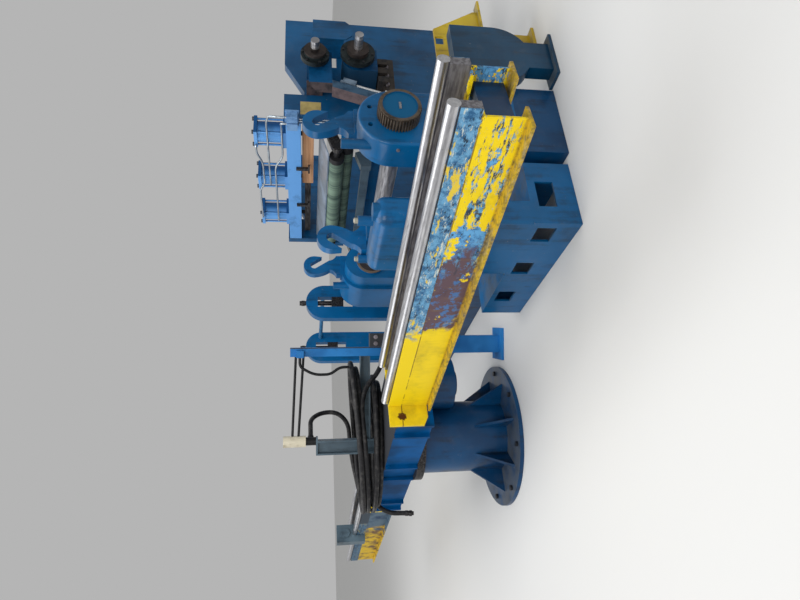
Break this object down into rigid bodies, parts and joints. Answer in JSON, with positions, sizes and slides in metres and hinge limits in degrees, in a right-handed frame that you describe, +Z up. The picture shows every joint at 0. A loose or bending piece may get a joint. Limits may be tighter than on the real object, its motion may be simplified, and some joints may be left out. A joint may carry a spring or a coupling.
{
  "type": "slitting line",
  "caption": "Coil slitting line: two-arm exit turnstile with polished rails, slitter housings with arbor and hooks, tension stand with rolls and cylinders, and guide yokes.",
  "frame": {"origin": "on the floor under the turnstile's axis, at the centre of its foot's bolt circle", "axes": "+Z up, +X along the arbor and rolls towards the gear end, +Y from the turnstile towards the tension stand"},
  "size_m": [6.4888, 3.8669, 1.995],
  "materials": {
    "machine_blue": "gloss paint, oily and worn",
    "grey_blue": "dull grey-blue paint",
    "light_blue": "faded light blue paint",
    "safety_yellow": "gloss yellow paint, chipped",
    "cream_paint": "dirty cream paint",
    "dark_steel": "oily dark steel",
    "ground_steel": "ground steel",
    "polished_steel": "polished",
    "tube_steel": "dull steel tube",
    "gear_steel": "oily brown steel",
    "brown_steel": "brown primer",
    "hose_rubber": "satin black rubber",
    "roll_rubber": "grey-green rubber",
    "pad_wood": "rough sawn"
  },
  "bodies": {
    "fixed_line": {"turnstile_foot": "machine_blue", "turnstile_column": "machine_blue", "slewing_ring": "dark_steel", "turnstile_hub": "machine_blue", "slew_drive": "machine_blue", "arm_flanges": "safety_yellow", "front_arm_channels": "safety_yellow", "rear_arm_channels": "safety_yellow", "arm_ties": "machine_blue", "arm_seat_bars": "ground_steel", "arm_rails": "polished_steel", "rail_stop_block": "grey_blue", "union_post": "grey_blue", "rotary_union": "cream_paint", "hose_boom": "grey_blue", "hose_mast": "machine_blue", "hose_coil": "hose_rubber", "hose_tail": "hose_rubber", "hose_end_fitting": "ground_steel", "front_bed": "machine_blue", "gearbox_column": "machine_blue", "front_gearbox": "machine_blue", "hook_pedestal": "machine_blue", "rear_bed": "machine_blue", "left_housing": "machine_blue", "right_housing": "machine_blue", "lifting_hooks": "machine_blue", "left_side_frame": "machine_blue", "right_side_frame": "machine_blue", "top_beam": "machine_blue", "pressure_cylinders": "machine_blue", "beam_hangers": "dark_steel", "table_plate": "ground_steel", "upper_roll_arms": "dark_steel", "lower_roll_blocks": "machine_blue", "guide_bar": "light_blue", "front_cross_beam": "machine_blue", "spindle_chocks": "machine_blue", "slant_guide": "brown_steel", "slant_cylinder": "machine_blue", "side_guard": "machine_blue", "valve_blocks": "light_blue", "upper_hose_loop": "hose_rubber", "valve_hose": "hose_rubber", "union_hose": "hose_rubber", "mast_pipes": "dark_steel", "drive_guard": "machine_blue", "yellow_bracket": "safety_yellow", "screw_yokes": "machine_blue", "jack_screws": "dark_steel", "yoke_tie_bar": "light_blue", "cylinder_tubing": "tube_steel"},
    "arbor_assembly": {"arbor": "ground_steel", "ring_gear": "gear_steel"},
    "upper_roll_body": {"upper_roll": "roll_rubber"},
    "lower_roll_body": {"lower_roll": "roll_rubber"},
    "upper_spindle_body": {"upper_spindle": "dark_steel"},
    "lower_spindle_body": {"lower_spindle": "dark_steel"},
    "pressure_pad": {"pad_bar": "dark_steel", "pad_board": "pad_wood"}
  },
  "joints": [
    {"name": "arbor_spin", "type": "hinge", "parent": "fixed_line", "child": "arbor_assembly", "pos_m": [1.1, 1.42, 1.045], "axis": [1, 0, 0], "continuous": true},
    {"name": "upper_roll_spin", "type": "hinge", "parent": "fixed_line", "child": "upper_roll_body", "pos_m": [0.5, 1.95, 1.355], "axis": [1, 0, 0], "continuous": true},
    {"name": "lower_roll_spin", "type": "hinge", "parent": "fixed_line", "child": "lower_roll_body", "pos_m": [0.5, 2.06, 1.275], "axis": [1, 0, 0], "continuous": true},
    {"name": "upper_spindle_spin", "type": "hinge", "parent": "fixed_line", "child": "upper_spindle_body", "pos_m": [1.6, 2.42, 1.528], "axis": [1, 0, 0], "continuous": true},
    {"name": "lower_spindle_spin", "type": "hinge", "parent": "fixed_line", "child": "lower_spindle_body", "pos_m": [1.6, 2.44, 1.216], "axis": [1, 0, 0], "continuous": true},
    {"name": "pad_slide", "type": "slide", "parent": "fixed_line", "child": "pressure_pad", "axis": [0, 0, 1], "range_m": [-0.025, 0]}
  ]
}
